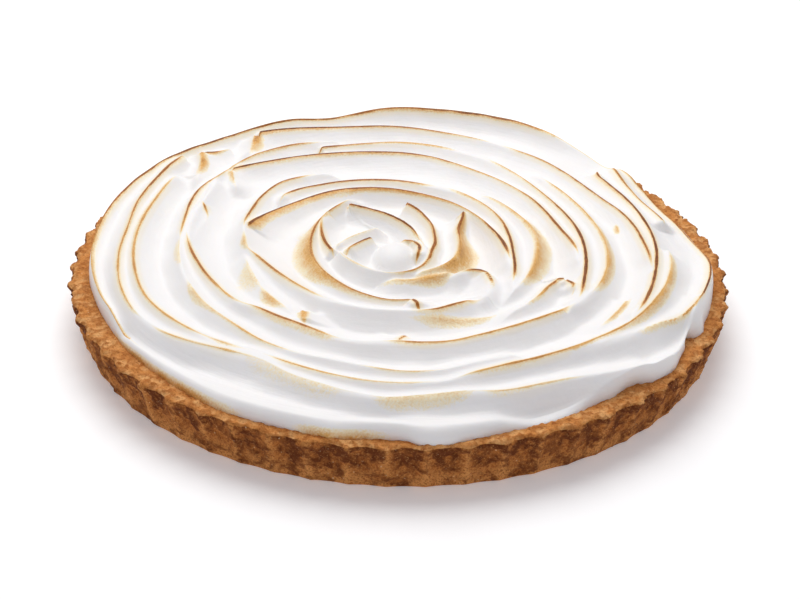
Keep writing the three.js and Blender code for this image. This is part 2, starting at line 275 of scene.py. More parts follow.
def makeCrustTree(sizes):
    tree = bpy.data.node_groups.new("fluted crust", "GeometryNodeTree")
    face = tree.interface
    face.new_socket("Geometry", in_out="INPUT", socket_type="NodeSocketGeometry")
    names = {}
    kinds = {"Columns": "NodeSocketInt", "Rows": "NodeSocketInt", "Material": "NodeSocketMaterial"}
    for name in ("Flutes", "Flute depth", "Flute depth at foot", "Flute sharpness", "Flute turn",
                 "Flute drift", "Columns", "Rows", "Crumb height", "Lump height", "Chip depth", "Seed",
                 "Material"):
        kind = kinds.get(name, "NodeSocketFloat")
        names[name] = face.new_socket(name, in_out="INPUT", socket_type=kind).identifier
    face.new_socket("Geometry", in_out="OUTPUT", socket_type="NodeSocketGeometry")
    given = addNode(tree, "NodeGroupInput").outputs

    # a grid rolled round the axis: its rows follow the profile
    grid = addNode(tree, "GeometryNodeMeshGrid", {
        "Size X": 1.0, "Size Y": 1.0, "Vertices X": plus(tree, given["Columns"], 1),
        "Vertices Y": given["Rows"]})
    index = addNode(tree, "GeometryNodeInputIndex").outputs[0]
    column = calc(tree, "FLOOR", calc(tree, "DIVIDE", plus(tree, index, 0.5), given["Rows"]))
    row = minus(tree, index, times(tree, column, given["Rows"]))
    turn = times(tree, calc(tree, "DIVIDE", column, given["Columns"]), 2 * math.pi)
    profile = addNode(tree, "GeometryNodeSampleIndex", {
        "Geometry": given["Geometry"], "Value": addNode(tree, "GeometryNodeInputPosition").outputs[0],
        "Index": row}, data_type="FLOAT_VECTOR", domain="POINT").outputs["Value"]
    point = splitVector(tree, profile)
    radius = point["X"]
    height = point["Z"]
    cosine = calc(tree, "COSINE", turn)
    sine = calc(tree, "SINE", turn)

    # hollow flutes between narrow ridges, each a little wider or narrower than the next
    seed = joinVector(tree, z=given["Seed"])
    slow = vectorCalc(tree, "ADD", scaled(tree, joinVector(tree, cosine, sine), 9.0), seed)
    stray = addNode(tree, "ShaderNodeTexNoise", {"Vector": slow, "Scale": 1.0, "Detail": 1.0})
    stray = times(tree, minus(tree, stray.outputs["Fac"], 0.5), given["Flute drift"])
    phase = minus(tree, plus(tree, turn, stray), given["Flute turn"])
    halfTurns = times(tree, phase, times(tree, given["Flutes"], 0.5))
    wave = calc(tree, "POWER", calc(tree, "SINE", halfTurns), 2.0)
    wave = minus(tree, calc(tree, "SQRT", plus(tree, wave, 0.03)), 0.17)
    recess = calc(tree, "POWER", wave, given["Flute sharpness"])
    # they run out on top of the rim
    outer = ramp(tree, radius, 131.5 * mm, 137.5 * mm)
    wall = ramp(tree, height, 20.5 * mm, 12.0 * mm)
    wall = times(tree, wall, ramp(tree, radius, 131.5 * mm, 133.0 * mm))
    recess = times(tree, recess, calc(tree, "MAXIMUM", outer, wall))
    depth = ramp(tree, height, 0.0, rimHeight * mm, given["Flute depth at foot"], given["Flute depth"],
                 smooth=False)
    drawn = minus(tree, radius, times(tree, recess, depth))
    place = joinVector(tree, times(tree, drawn, cosine), times(tree, drawn, sine), height)
    rolled = addNode(tree, "GeometryNodeSetPosition", {
        "Geometry": grid.outputs["Mesh"], "Position": place})
    marked = storeValue(tree, rolled.outputs[0], "recess", recess)
    topSide = ramp(tree, height, 19.9 * mm, 20.7 * mm)
    topSide = times(tree, topSide, ramp(tree, radius, 120 * mm, 128 * mm))
    marked = storeValue(tree, marked, "onRim", topSide)
    joined = addNode(tree, "GeometryNodeMergeByDistance", {"Geometry": marked, "Distance": 0.01 * mm})

    # lumps, crumbs and pits pushed out along the surface
    here = addNode(tree, "GeometryNodeInputPosition").outputs[0]
    shifted = vectorCalc(tree, "ADD", here, seed)
    lumps = minus(tree, noise(tree, shifted, sizes["lumpSize"], detail=2.0), 0.5)
    grain = minus(tree, noise(tree, shifted, sizes["grainSize"], detail=3.0, roughness=0.6), 0.5)
    crumbs = ramp(tree, cells(tree, shifted, sizes["crumbSize"], "SMOOTH_F1"), 0.62, 0.12, -0.5, 0.5)
    pits = ramp(tree, cells(tree, shifted, sizes["pitSize"]), 0.30, 0.05, 0.0, -0.9)
    fine = plus(tree, plus(tree, crumbs, grain), pits)
    lift = times(tree, lumps, times(tree, given["Lump height"], 2.0))
    lift = plus(tree, lift, times(tree, fine, given["Crumb height"]))
    atRadius = vectorCalc(tree, "LENGTH", vectorCalc(tree, "MULTIPLY", here, (1, 1, 0)))
    atHeight = splitVector(tree, here)["Z"]
    # the outer edge of the rim is chipped
    lip = ramp(tree, atHeight, 17.5 * mm, 20 * mm)
    lip = times(tree, lip, ramp(tree, atRadius, 136.5 * mm, 139.5 * mm))
    chips = minus(tree, noise(tree, shifted, sizes["chipSize"], detail=2.0, roughness=0.58), 0.52)
    lift = plus(tree, lift, times(tree, times(tree, chips, lip), given["Chip depth"]))
    # and what doesn't show stays plain
    showing = ramp(tree, atRadius, 129 * mm, 131 * mm)
    showing = times(tree, showing, ramp(tree, atHeight, 0.1 * mm, 1.2 * mm))
    normal = addNode(tree, "GeometryNodeInputNormal").outputs[0]
    offset = scaled(tree, normal, times(tree, lift, showing))
    rough = addNode(tree, "GeometryNodeSetPosition", {"Geometry": joined.outputs[0], "Offset": offset})
    marked = storeValue(tree, rough.outputs[0], "relief", fine)
    smooth = addNode(tree, "GeometryNodeSetShadeSmooth", {"Geometry": marked})
    real = addNode(tree, "GeometryNodeRealizeInstances", {"Geometry": smooth.outputs[0]})
    final = addNode(tree, "GeometryNodeSetMaterial", {
        "Geometry": real.outputs[0], "Material": given["Material"]})
    addNode(tree, "NodeGroupOutput", {0: final.outputs[0]})
    return tree, names


def bakeModifier(thing, modifier):
    # the modifier's result as a plain mesh
    bpy.context.view_layer.update()
    graph = bpy.context.evaluated_depsgraph_get()
    shown = thing.evaluated_get(graph)
    result = bpy.data.meshes.new_from_object(shown, preserve_all_data_layers=True, depsgraph=graph)
    thing.modifiers.remove(modifier)
    thing.data = result


def newPiece(name, mesh):
    piece = bpy.data.objects.new(name, mesh)
    bpy.context.scene.collection.objects.link(piece)
    return piece


def makeCrust(sizes, material):
    rows = crustProfile(sizes)
    mesh = bpy.data.meshes.new("crust profile")
    points = [(radius * mm, 0, height * mm) for radius, height in rows]
    mesh.from_pydata(points, [(k, k + 1) for k in range(len(points) - 1)], [])
    piece = newPiece("crust_baked", mesh)
    tree, names = makeCrustTree(sizes)
    values = {
        "Flutes": float(sizes["flutes"]),
        "Flute depth": sizes["fluteDepth"] * mm,
        "Flute depth at foot": sizes["fluteDepthAtFoot"] * mm,
        "Flute sharpness": sizes["fluteSharpness"],
        "Flute turn": math.radians(sizes["fluteTurn"]),
        "Flute drift": math.radians(sizes["fluteDrift"]) * 2,
        "Columns": sizes["flutes"] * sizes["columnsPerFlute"],
        "Rows": len(rows),
        "Crumb height": sizes["crumbHeight"] * mm,
        "Lump height": sizes["lumpHeight"] * mm,
        "Chip depth": sizes["chipDepth"] * mm,
        "Seed": float(sizes["seed"]),
        "Material": material,
    }
    modifier = piece.modifiers.new("flutes", "NODES")
    modifier.node_group = tree
    for name, value in values.items():
        modifier[names[name]] = value
    bakeModifier(piece, modifier)
    piece.data.name = "crust"
    print("crust: %d faces" % len(piece.data.polygons))
    return piece


# Meringue: spread in rings with a spatula, with a sharp crest left between strokes, then browned
# by a flame. Angles are in degrees from +X towards +Y, radii and heights in millimetres.

meringue = {
    "columns": 640,
    "rings": 150,
    "coarserInside": {56: 2, 20: 4},  # rings below which only every second or fourth column is kept
    "crownHeight": 36.5,
    "shoulderHeight": 33.5,
    "shoulderRadius": 133.0,
    "shoulderStart": 100.0,
    "valleyDepth": 6.5,
    "innerWidth": 15.0,    # of a ridge on the side of the middle
    "innerPower": 1.8,
    "outerWidth": 10.0,
    "outerPower": 1.7,
    "frontInnerWidth": 15.0,
    "frontInnerPower": 1.5,
    "frontOuterWidth": 9.0,
    "frontOuterPower": 1.2,
    "slopingSide": (-100, 45, 75),  # the front: its middle, and where it begins and stops to fade
    "rollingSide": (-105, 38, 56),  # the part of it where the edge rolls over in a round
    "middleScale": 0.58,   # how much narrower ridges are in the middle
    "middleReach": (30.0, 62.0),
    "ridgeBlend": 3.0,
    "crestStep": 1.5,
    "crestReach": 16.0,    # how far from a crest its points are looked at
    "crestRounding": 0.3,
    "acrossRounding": 1.1,  # of a crest that runs across the rings
    "brownReach": 4.0,     # from a crest, over which its browning fades
    "bandSoftness": 1.15,
    "edgeShare": 0.55,     # of the valley's depth, that the edge's crest rises
    "edgeWidth": 10.0,
    "edgeTone": 0.75,
    "notchReach": 11.0,
    "notchPower": 1.5,
    "rollStart": 5.0,      # reach at which the roll at the front is full
    "rollSink": 3.0,       # how far it sinks where it ends
    "rollSlope": 0.06,
    "rollSwell": 0.35,
    "rollSwellSize": 26.0,
    "creaseFilling": 0.5,
    "wallBulge": 0.4,
    "wallRows": 16,
    "brownRows": 4,        # of the wall, over which the browning of the edge fades
    "sink": 0.35,          # how deep its foot settles into the rim
    "plugRadius": 126.5,   # of the part that fills the crust
    "plugFoot": 6.0,
    "ripple": 0.22,
    "rippleSize": 17.0,
    "seed": 11,
}


def crest(points, *toasts, rise=1.0, fade=(12, 12)):
    # a crest left between two strokes of the spatula: angles and radii that it passes through, how
    # far it rises and over what lengths it rises and sinks at its ends, and where it is browned
    return {"points": points, "toasts": toasts, "rise": rise, "fade": fade}


def toast(start, end, line=0.5, outer=0.0, inner=0.0, tone=0.6):
    # a browned part of a crest: line is how dark its top is, outer and inner are the widths of
    # the bands beside it, and tone is how brown they are. A list gives values at even steps.
    return {"start": start, "end": end, "line": line, "outer": outer, "inner": inner, "tone": tone}


crests = [
    # the middle
    crest([(-68, 22), (-55, 18), (-29, 9.5), (-3, 7.2), (23, 7), (49, 8), (75, 10.6), (101, 17.3),
           (120, 27.5), (130, 36.5)],
          toast(-50, 130, line=[.1, .35, .6, .85, .9, .95, 1, .9],
                inner=[0, 0, 0, 1, 1.5, 1.6, 1.4, 1]), fade=(6, 1)),
    crest([(-152, 29), (-146, 30.4), (-127, 31.8), (-108, 34), (-97, 34.8), (-84, 33), (-73, 30),
           (-60, 24.6), (-47, 20), (-20, 16.2), (6.5, 15), (33, 16.7), (60, 21.3), (87, 31)],
          toast(-146, -110, line=.2),
          toast(-98, 87, line=[.5, .7, .8, .85, .8, .8, .85], outer=[0, 0, 0, 2, 1.5, 0, 0]),
          fade=(4, 1.5)),
    crest([(-84, 34.6), (-77, 34.4), (-65, 33.3), (-44, 31), (-23, 27.8), (-1, 25.7), (20, 27.2),
           (41, 36.5)],
          toast(-78, 41, line=[.1, .2, .4, .6, .7, .8, .9], outer=[1, 5, 8, 8.5, 6, 3.2, 1],
                tone=[.4, .6, .75, .8, .8, .85, .9]), fade=(8, 1.5)),
    crest([(-112, 6.6), (-92, 5.9), (-76, 5.8), (-62, 6.6), (-53, 8), (-49.3, 9.3)],
          toast(-100, -49.3, line=[.3, .5, .8, .9], inner=[0, .6, .6], tone=.5), fade=(5, .2)),
    crest([(-70, 20.4), (-63, 18.2), (-57, 15.6), (-51.5, 12.8), (-49.3, 9.3)],
          toast(-70, -49.3, line=[.5, .85, .95, .9], inner=[.5, 1.5, 1, .5], tone=.6),
          fade=(3, .2)),
    # the curl beside it, with a thinner one above
    crest([(186, 10.5), (192, 12.8), (198, 16), (204, 19.8), (210, 24.5), (214, 28)],
          toast(188, 214, line=[.9, .95, .85, .5], outer=[1, 2.5, 4, 3], tone=.5), rise=.9, fade=(3, 4)),
    crest([(120, 11), (146, 13), (163, 15.5), (177, 19.4), (188, 23.5), (196, 27.4), (200, 30)],
          toast(135, 197, line=[.15, .3, .3, .2], outer=[1, 2.2, 2.5, 1.5], tone=.42), rise=.75,
          fade=(6, 4)),
    crest([(148, 38), (157, 36.8), (165, 35.5), (180, 33.4), (194, 32.2), (208, 31.4)],
          toast(160, 206, line=[.4, .7, .85, .9]), rise=.85, fade=(6, 2)),
    crest([(112, 42), (128, 39.3), (149, 37.6), (170, 37.2), (191, 38.8), (213, 42.8), (234, 47.8),
           (255, 54), (266, 56.4), (275.5, 56)],
          toast(128, 276, line=[.6, .8, .75, .7, .6, .6, .7, .6],
                outer=[0, 1.5, 5, 7.5, 8, 6.5, 3, 1.6, .6], tone=[.6, .6, .65, .7, .7, .6, .5]),
          fade=(12, .3)),
    crest([(275.5, 56), (277, 58), (278, 61.5)],
          toast(275.5, 278, line=[.85, .9, .6], outer=.8, inner=.8), fade=(.3, 3)),

    # the two long rings round it
    crest([(-34, 56), (-20, 49.3), (4, 42), (28, 38.9), (53, 39), (77, 40.8), (101, 45.8), (125, 51),
           (150, 55.5), (174, 66.5)],
          toast(-20, 174, line=[.9, .95, .5, .55, .7, .85, .9, .95, 1],
                inner=[0, 0, 0, .8, 1.5, 2, 2.4, 2.8, 2.8], tone=1), fade=(10, 2)),
    crest([(-47, 66), (-37, 59.5), (-17, 50.5), (3, 47.2), (24, 47.4), (44, 48.6), (64, 50.5), (75, 50.5),
           (92, 53.3), (109, 56.3), (127, 59.8), (144, 63.8), (152, 62.7)],
          toast(-37, 64, line=[.95, .95, .9, .6, .5, .25], inner=.8),
          toast(75, 146, line=[.6, .8, .85, .9], inner=[.8, .8, 1, 1.4], tone=.8), fade=(12, 8)),
    crest([(-54, 68), (-38, 64.5), (-18, 60.5), (3, 58.8), (24, 56.2), (44, 55), (56, 53.5)],
          toast(-38, 46, line=.4, outer=[2.5, 6, 6.5, 5, 3, 2], inner=.6, tone=.66), fade=(14, 12)),
    crest([(112, 66), (125, 70.5), (137, 73.8), (149, 71.8), (161, 69.3), (173, 68.3), (182, 67),
           (193, 66), (199, 63.8), (214, 61.4), (230, 61.7), (245, 63.7), (258, 64.5), (272, 64.5),
           (283, 64.5), (292, 62.5), (300, 62.5), (308, 64)],
          toast(127, 173, line=.8), toast(180, 194, line=.3, outer=[1, 2.5, 1.5], tone=.5),
          toast(194, 242, line=[.6, .7, .55, .2]),
          toast(276, 300, line=[.3, .75, .8, .7], outer=2, tone=.5), fade=(12, 14)),
    crest([(190, 68), (200, 68.5), (212, 70.5), (222, 73.5), (234, 76.8), (242, 80)],
          toast(200, 219, line=.1, outer=[1, 6, 9, 6], tone=.28),
          toast(220, 233, line=.4, outer=[2, 4, 4, 2], tone=.6), rise=.8, fade=(12, 12)),
    crest([(238.5, 72.5), (240, 75), (241.5, 78), (243, 81.5)],
          toast(238.5, 243, line=.5, outer=[2.2, 3, 3, 1], inner=[1.5, 2, 1.5, 0], tone=.72), rise=.8,
          fade=(2, 3)),
    crest([(270, 85), (271.5, 81.5), (273, 78.5)],
          toast(270, 273, line=.7, outer=[0, 1, 2], inner=[.5, 1.5, 2], tone=.75), rise=.6, fade=(3, 2)),
    crest([(-62, 39.5), (-52, 40.8), (-47, 41.2), (-43, 42.6), (-40.8, 45.5), (-40.4, 47)],
          toast(-50, -40.4, line=[.4, .8, .95, 1]), rise=.95, fade=(8, .2)),
    crest([(-62, 64), (-56, 62.5), (-50, 58.8), (-46.5, 56), (-43.5, 52), (-41.4, 49), (-40.4, 47)],
          toast(-50, -40.4, line=[.1, .4, .8, 1], outer=[0, .8, 1]), rise=.95, fade=(8, .2)),
    crest([(-104, 39), (-94, 38.6), (-84, 38.2), (-74, 37.6), (-64, 37.2), (-56, 37.6), (-50, 38.4)],
          toast(-102, -52, line=0, outer=[.5, 1, 2, 4, 4, 1.5], inner=[1, 2, 3, 3, 2],
                tone=[.3, .45, .6, .65, .55]), rise=.8, fade=(9, 5)),
    crest([(-94, 67), (-82, 67.6), (-70, 69.2), (-60, 71.6), (-51, 74)],
          toast(-86, -56, line=0, outer=[1, 4, 4.5, 3.5, 1], inner=[1, 2, 2, 1],
                tone=[.3, .42, .4, .36, .3]), rise=.35, fade=(8, 8)),
    crest([(-62, 79), (-47, 76.8), (-40, 75.5), (-34, 74.4), (-29, 74.8)],
          toast(-47, -29, line=[.1, .4, .6, .8], outer=[1.5, 1.5, 1, 0], tone=.5), fade=(14, .2)),
    crest([(-29, 74.8), (-27.6, 75.6), (-26.9, 77.2)],
          toast(-29, -26.9, line=.9), fade=(.2, .2)),
    crest([(-32.5, 84.6), (-30, 82.8), (-27.6, 80), (-26.9, 77.2)],
          toast(-31.5, -26.9, line=[.5, .85, .95, .9], inner=.6), rise=.95, fade=(5, .2)),
    crest([(-42, 91.5), (-32, 88), (-25, 84.6), (-13, 81), (6, 78.2), (24, 77.1), (33, 77.8), (43, 80.3),
           (53, 84.3), (62, 88.6), (72, 92), (82, 95.5), (92, 97), (100, 96.2), (108, 96.2), (114, 97.2)],
          toast(-32, 62, line=[.9, .95, .95, .9, .6, .45, .3], inner=.8),
          toast(75, 114, line=[.3, .45, .6, .95], inner=[.4, .7, .8, 1.6], tone=.8), fade=(10, 2)),
    crest([(-20, 79.5), (-8, 76.5), (0, 73.4), (6, 71.2), (13, 69.8), (22, 69.5), (34, 70.4), (45, 71.4),
           (53, 72.7), (63, 74.8), (71, 77.6), (80, 81.6), (90, 84.6), (98, 85.8), (112, 89), (127, 94.2),
           (141, 100.8)],
          toast(-8, 141, line=[.6, .85, .8, .55, .45, .7, .9, .95, .95, 1],
                inner=[0, .5, .5, .6, .8, 1.2, 1.7, 1.9, 1.7, 1.6], tone=.9), fade=(12, 2)),
    crest([(141, 100.8), (143, 97), (147.5, 89), (150, 85)],
          toast(141.5, 147.5, line=[.5, .2, .1], outer=[2.5, 2, 1], tone=[.7, .45, .2]), rise=.8,
          fade=(2, 8)),

    # the outer strokes: the long ones run on white where no flame touched them
    crest([(146, 100.5), (152, 96.5), (159, 93.6), (168, 92.6), (180, 92), (188, 90.3), (196, 88.7),
           (210, 87.6), (223, 87.2), (228, 85.3), (236, 84.8), (243, 85.2), (249, 86.8), (254, 88.8),
           (261, 89.3), (269, 87.4), (277, 88.4), (283, 88.8), (291, 87.4), (302, 86.8), (312, 87.8),
           (321, 90), (333, 91.3), (345, 90.4), (360, 88.4), (375, 86.5), (388, 86.6), (400, 88.2),
           (412, 90)],
          toast(182, 224, line=[.5, .75, .75, .5, .3]),
          toast(225, 254, line=[.6, .75, .75, .4], outer=[1, 2.5, 2.5, 2.5], tone=.5),
          toast(268, 321, line=[.6, .65, .5, .6, .55, .6, .5], outer=[.8, 0, 0, .8, 1.2, 1.6], tone=.5),
          toast(332, 401, line=.45, outer=[2, 3.6, 3.4, 2.4, 2, 2, 1], tone=[.6, .68, .68, .6, .5]),
          fade=(8, 14)),
    crest([(104, 102.5), (112, 102.8), (118, 105.6), (126, 106), (134, 104.8), (141, 102), (147, 101),
           (155, 100.4), (162, 98.2), (170, 95.6), (182, 94.4), (193, 95.2), (206, 96.8), (217, 98.6),
           (230, 100.2), (240, 103.2), (247, 104.2), (256, 104.2), (264, 106.2), (272, 108.4), (279, 108),
           (286, 105.2), (293, 104.6), (299, 106)],
          toast(113, 182, line=[.5, .8, .7, .5, .6, .8, .8, .6, .4],
                inner=[1, 2, 1.5, .8, 1, 1.2, .8, .5]),
          toast(183, 198, line=.1, outer=[2, 3, 2], tone=.3),
          toast(207, 247, line=[.2, .3, .2, .4, .5, .3], outer=[2, 3, 1, 1, .5, 0], tone=.42),
          toast(263, 279, line=[.2, .4, .4, .2]), fade=(10, 10)),
    crest([(-12, 109.2), (-8, 107.8), (0, 105.4), (10, 103.8), (17, 102.4), (24, 100.2), (32, 99.9),
           (42, 102), (52, 105), (60, 106.4), (68, 108.6), (79, 111.4), (90, 114.8), (102, 117),
           (113, 120.6), (124, 125)],
          toast(-9, 62, line=[.6, .8, .8, .75, .8, .7, .6, .5], inner=.9),
          toast(68, 124, line=[.3, .7, .9, .95, 1], inner=[.3, .8, 1.3, 1.4, 1.6], tone=.9),
          fade=(14, 2)),
    crest([(124, 125), (125.5, 121), (127.5, 116), (130, 111), (133, 106)],
          toast(124, 131, line=[.7, .4, .2, .1], outer=[1, 1.5, 1, 0], inner=[3, 4.5, 4, 1.5],
                tone=[1, .85, .6, .3]), rise=.9, fade=(2, 8)),
    crest([(131, 120.5), (134, 121.4), (136, 123), (138.5, 126)],
          toast(133, 138.5, line=[.6, .9, .95], inner=[1, 2, 2.5], tone=.85), rise=.7, fade=(4, 2)),
    crest([(138.5, 126), (140.5, 121), (143.5, 115.5), (147.5, 110.5), (153, 105.5)],
          toast(138.5, 148, line=[.7, .4, .2, .1], outer=[1.2, 1.2, .8, 0], inner=[2, 3.6, 3, 1.2],
                tone=[1, .85, .65, .3]), rise=.9, fade=(2, 10)),
    # the highest two crests on the left, which run on as the terraces at the front
    crest([(142, 126.8), (147, 126), (155, 123.2), (165, 120.8), (177, 118.3), (190, 120.3), (202, 122.6),
           (212, 123), (220, 121.8), (228, 118.6), (236, 115), (243, 114.2), (249, 117.4), (257, 120.4),
           (263, 122.6), (268, 123.8), (275, 122.8), (283, 121.7), (289, 122.8), (296, 122.8),
           (301, 123.8), (305.5, 125.8), (309, 128.2), (312, 130.4), (314, 131.7), (317, 133.5),
           (320, 134.6)],
          toast(142, 212, line=[.7, .85, .7, .6, .55, .5, .3], inner=[1.5, 1.5, 1.5, 1, 1, .8, 0],
                tone=.5), toast(218, 240, line=[.25, .4, .25, .4, .3]),
          toast(238, 262, line=.1, outer=[3, 6.5, 5, 6, 2], tone=.17),
          toast(266, 284, line=.1, outer=[3, 4.5, 5, 4, 2], tone=.36),
          toast(285, 305, line=[.25, .35, .3, .1], outer=[3, 2, 1, 0], tone=.22),
          rise=[1, 1, 1, 1, 1, 1, 1, 1, .95, .55], fade=(5, 9)),
    crest([(148, 118.5), (155, 116.4), (163, 114.2), (173, 113.3), (184, 113.6), (196, 114.6),
           (208, 115.8), (217, 115), (227, 113.6), (235, 112), (241, 110.6), (248, 111.6), (257, 113.6),
           (265, 115.2), (274, 115.6), (280, 114.8), (285, 111.6), (291, 110), (301, 110), (313, 112),
           (322, 114), (333, 115.4), (345, 116.5), (354, 116.4), (361, 114.6)],
          toast(153, 228, line=[.4, .55, .55, .5, .6, .5, .5, .4],
                outer=[1.5, 2, 2, 1.5, 1.2, .5, .5, 0], tone=.5),
          toast(228, 238, line=[.3, .35, .1], outer=[.5, 2, 1], tone=.3),
          toast(244, 276, line=[.5, .5, .4, .3, .25, .2], outer=[1, .5, 0, 0, 0, 0], tone=.4),
          toast(283, 356, line=[.35, .6, .6, .5, .6, .5, .4, .4],
                outer=[1, 2, 1.4, .8, 1.5, 3, 3.2, 3, 2], tone=[.35, .45, .4, .5, .65, .7, .6]),
          fade=(10, 8)),
    crest([(162, 92.4), (164, 90), (167, 87.2), (172, 87), (180, 88), (188, 86.8)],
          toast(162, 167, line=[.6, .8, .5]), rise=.5, fade=(2, 12)),
    crest([(-36, 113.4), (-30, 112.8), (-21, 111.4), (-12, 110.3), (0, 110.3), (12, 110.4), (24, 111.2),
           (32, 112), (37, 114), (39, 117)],
          toast(-30, 38, line=[.8, .95, .95, .95, .9, .85], outer=.8, inner=.8, tone=.7), fade=(8, 3)),
    crest([(-44, 105.5), (-38, 105), (-31, 104.4), (-24, 104)],
          toast(-38, -24, line=.3, outer=[1, 2, 2.2, 1.5], tone=.6), rise=.5, fade=(8, 4)),
    crest([(8, 97), (11, 97.6), (14, 98.2)],
          toast(9, 13, line=.2, outer=1, inner=1, tone=.55), rise=.15, fade=(3, 3)),
    crest([(13, 121.6), (16.7, 120.7), (19.7, 119.7), (23.9, 119.2), (29, 120.5), (34.4, 123.4),
           (39.8, 128.7)],
          toast(14, 39.8, line=[.7, .6, .6, .7, .6]), rise=.8, fade=(2, 3)),
    # the crest that leaves the edge on the right
    crest([(-52, 113), (-43.5, 117), (-37, 120.2), (-31, 123.4), (-27.5, 126), (-23.4, 129.2),
           (-20, 131.2), (-17, 132)],
          toast(-37, -18, line=[.1, .25, .4, .6, .7], outer=[2.5, 2, 1.5, .8, .6], tone=.42),
          rise=[.8, .95, .95, .85, .56], fade=(14, .5)),
    # the crease above the roll at the front: it lifts nothing, and keeps the edge's browning off it
    crest([(-148, 127.5), (-142, 126.2), (-134, 123.5), (-123, 123), (-116, 124.6), (-110, 126),
           (-105, 128), (-100, 129.2), (-94, 129.4), (-86, 128.4), (-80, 127.2), (-73, 128),
           (-66, 129.4)],
          rise=0),
]

# the edge all round: angle, radius and height of its crest, and how far the roll at the front
# reaches inwards from it
edge = [
    (-180, 132.2, 31, 0), (-165, 131.4, 28.4, 0), (-160, 130.8, 26.8, 0), (-155, 130, 25.8, 0),
    (-150, 129.8, 24.8, 2), (-145, 129.8, 24.9, 5), (-140, 129.6, 25.4, 8), (-130, 129.8, 26, 11),
    (-120, 131.5, 26.5, 11), (-110, 132.2, 26.8, 11), (-100, 132.8, 26.9, 10), (-92, 131.8, 26.9, 10),
    (-85, 134, 27.1, 10), (-80, 133.6, 26.8, 9), (-76, 132.6, 26.2, 7), (-71, 131.4, 25.2, 3.5),
    (-66, 130.6, 24.6, 0), (-60, 130.6, 25, 0), (-55, 130.6, 26.4, 0), (-50, 131.2, 28.2, 0),
    (-46, 132.4, 28.8, 0), (-41.5, 134.4, 28.2, 0), (-38.5, 135.4, 27.6, 0), (-35.5, 135.4, 27.2, 0),
    (-33, 134.4, 27.2, 0), (-31, 133.4, 27.6, 0), (-29.2, 132.8, 28.2, 0), (-27.5, 132.3, 28.8, 0),
    (-26, 132, 29.4, 0), (-24, 131.8, 30.2, 0), (-21, 131.7, 30.9, 0), (-17, 132, 31.2, 0),
    (-10, 133.2, 30.6, 0), (-4, 134, 29, 0), (1, 134.1, 26.8, 0), (5, 133.4, 24.8, 0), (10, 132, 23.8, 0),
    (17, 131.2, 23.7, 0), (24, 130, 24.8, 0), (29, 129.5, 27.4, 0), (31.5, 129.6, 28.8, 0),
    (34.5, 130.2, 30.6, 0), (37, 130.8, 30.6, 0), (39, 131, 29.8, 0), (42.5, 131.4, 28, 0),
    (47.5, 131.8, 29.6, 0), (52, 132, 32.2, 0), (55, 132.2, 33.8, 0), (60, 132.5, 35.6, 0),
    (78, 132.5, 37.2, 0), (95, 132.5, 36.6, 0), (105, 132.5, 32.8, 0), (115, 132.5, 34.8, 0),
    (130, 132.5, 33.3, 0), (145, 132.4, 34.3, 0), (160, 132.2, 33.6, 0), (172, 132, 32.6, 0),
]
# how far its crest stands out, and the hollow where a valley runs out between two lobes
edgeRise = [(-180, .55), (-78, .55), (-72, 0), (-51, 0), (-47, .4), (-43, .55), (0, .55), (90, .55)]
notch = [
    (-42, 0), (-38, .3), (-34.5, 1.8), (-31, 4.4), (-28.5, 5.6), (-26, 4.6), (-23, 1.4), (-20, 0),
    (90, 0), (-150, 0),
]
# the foot of the meringue on the rim: angle and radius
foot = [
    (-180, 133.5), (-170, 133), (-165, 132), (-160, 131.5), (-150, 131.4), (-145, 132), (-140, 132),
    (-135, 132.6), (-130, 133.2), (-125, 134.3), (-120, 135.6), (-113, 135.8), (-105, 136.4),
    (-100, 137.5), (-94, 135.5), (-89, 136), (-85, 139.3), (-80, 138), (-75, 136), (-70, 135), (-60, 134),
    (-55, 132.5), (-50, 132.4), (-47.5, 131.4), (-45, 132), (-42.5, 135), (-39, 136.8), (-36, 136.6),
    (-33.5, 135), (-31.2, 133.8), (-29.8, 133.2), (-28.6, 129.6), (-27.4, 126.8), (-26.2, 129.6),
    (-25, 133.2), (-19, 134.4), (-10, 135), (0, 135.6), (5, 135.5), (12, 133.8), (17, 133.2), (24, 132),
    (30, 131.5), (36, 132.5), (52, 134), (65, 134.5), (120, 134.5),
]
edgeBrowning = {
    "line": [(-180, .6), (-165, .35), (-150, .15), (-140, 0), (-62, 0), (-45, 0), (-36, 0), (-21, 0),
             (-18, .7), (-8, .9), (5, .7), (20, .75), (30, .7), (36, .5), (40, .2), (46, .17), (54, .2),
             (58.5, .5), (64, .8), (90, .85), (150, .9)],
    "inner": [(-180, .9), (-160, .6), (-148, .4), (-138, 0), (-20, 0), (-16, .6), (0, .6), (20, .5),
             (36, .4), (41, .2), (55, .2), (60, .8), (75, 1.5), (95, 1.6), (110, 1.1), (130, 1.1),
             (160, 1)],
    "lip": [(-180, 0), (-152, 0), (-147, .5), (-134, .75), (-122, .6), (-115, .08), (-107, .05),
             (-102, .55), (-96, .55), (-91, .1), (-87, 0), (150, 0)],
}


def through(pairs, at):
    # a smooth curve through pairs of a place and a value
    table = np.asarray(pairs, float)
    places, values = table[:, 0], table[:, 1]
    slopes = np.gradient(values, places)
    k = np.clip(np.searchsorted(places, at) - 1, 0, len(places) - 2)
    gap = places[k + 1] - places[k]
    t = np.clip((at - places[k]) / gap, 0, 1)
    return (values[k] * (2 * t ** 3 - 3 * t ** 2 + 1) + slopes[k] * gap * (t ** 3 - 2 * t ** 2 + t)
            + values[k + 1] * (3 * t ** 2 - 2 * t ** 3) + slopes[k + 1] * gap * (t ** 3 - t ** 2))


def onCircle(pairs, angle):
    # the same, round the circle
    table = np.array(sorted(pairs))
    wrapped = np.concatenate([table - [360, 0], table, table + [360, 0]])
    return through(wrapped, (np.asarray(angle) + 180) % 360 - 180)


